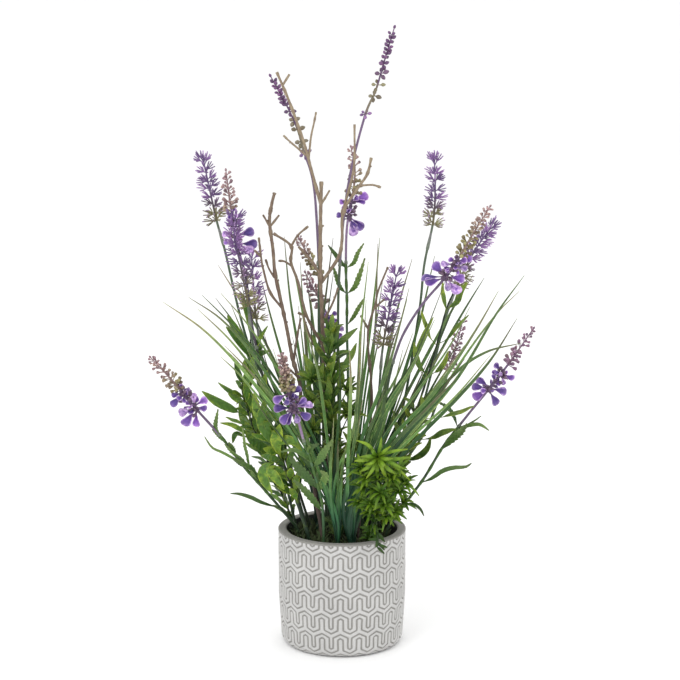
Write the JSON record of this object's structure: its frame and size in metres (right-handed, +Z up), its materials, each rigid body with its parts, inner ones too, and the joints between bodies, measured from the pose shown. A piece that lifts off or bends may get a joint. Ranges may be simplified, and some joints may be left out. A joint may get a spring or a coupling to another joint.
{
  "type": "potted lavender",
  "caption": "Artificial lavender arrangement with salvia, grass, fern and bare twigs in a round cement pot with a raised interlocking line pattern.",
  "frame": {"origin": "centre of the pot's flat underside", "axes": "+Z up out of the pot; -Y is the front of the arrangement, +X is to the right as seen from the front"},
  "size_m": [0.3768, 0.2247, 0.6104],
  "materials": {
    "cement": "matte",
    "foam": "matte",
    "moss": "matte",
    "stem_green": "matte",
    "stem_purple": "matte",
    "needle_purple": "matte",
    "bud_tan": "matte",
    "petal_violet": "satin",
    "leaf_green": "satin",
    "leaf_dark": "satin",
    "fern_green": "satin",
    "salvia_purple": "matte",
    "twig_brown": "matte",
    "grass_green": "satin"
  },
  "bodies": {
    "root": {"bud_1_buds": "bud_tan", "bud_1_leaves": "leaf_green", "bud_1_petals": "petal_violet", "bud_1_stem": "stem_purple", "bud_2_buds": "bud_tan", "bud_2_leaves": "leaf_green", "bud_2_petals": "petal_violet", "bud_2_stem": "stem_purple", "bud_3_buds": "bud_tan", "bud_3_petals": "petal_violet", "bud_3_stem": "stem_purple", "bud_4_buds": "bud_tan", "bud_4_petals": "petal_violet", "bud_4_stem": "stem_purple", "bud_5_buds": "bud_tan", "bud_5_leaves": "leaf_green", "bud_5_petals": "petal_violet", "bud_5_stem": "stem_purple", "bud_6_buds": "bud_tan", "bud_6_leaves": "leaf_green", "bud_6_petals": "petal_violet", "bud_6_stem": "stem_purple", "bud_7_buds": "bud_tan", "bud_7_stem": "stem_purple", "bud_8_buds": "bud_tan", "bud_8_petals": "petal_violet", "bud_8_stem": "stem_purple", "bud_9_buds": "bud_tan", "bud_9_stem": "stem_purple", "fern_front": "fern_green", "fern_middle": "fern_green", "foam_plug": "foam", "grass_back_left": "grass_green", "grass_back_right": "grass_green", "grass_front_left": "grass_green", "grass_front_right": "grass_green", "leaf_spray_broad": "leaf_green", "leaf_spray_dark": "leaf_dark", "leaf_spray_left": "leaf_green", "moss_mat": "moss", "needle_1_florets": "needle_purple", "needle_1_stem": "stem_green", "needle_2_florets": "needle_purple", "needle_2_stem": "stem_green", "needle_3_florets": "needle_purple", "needle_3_stem": "stem_green", "needle_4_florets": "needle_purple", "needle_4_stem": "stem_green", "needle_5_florets": "needle_purple", "needle_5_stem": "stem_green", "needle_6_florets": "needle_purple", "needle_6_stem": "stem_green", "pot": "cement", "salvia_1_buds": "salvia_purple", "salvia_1_stem": "stem_purple", "salvia_2_buds": "salvia_purple", "salvia_2_stem": "stem_purple", "twig_1": "twig_brown", "twig_2": "twig_brown", "twig_3": "twig_brown"}
  },
  "joints": []
}
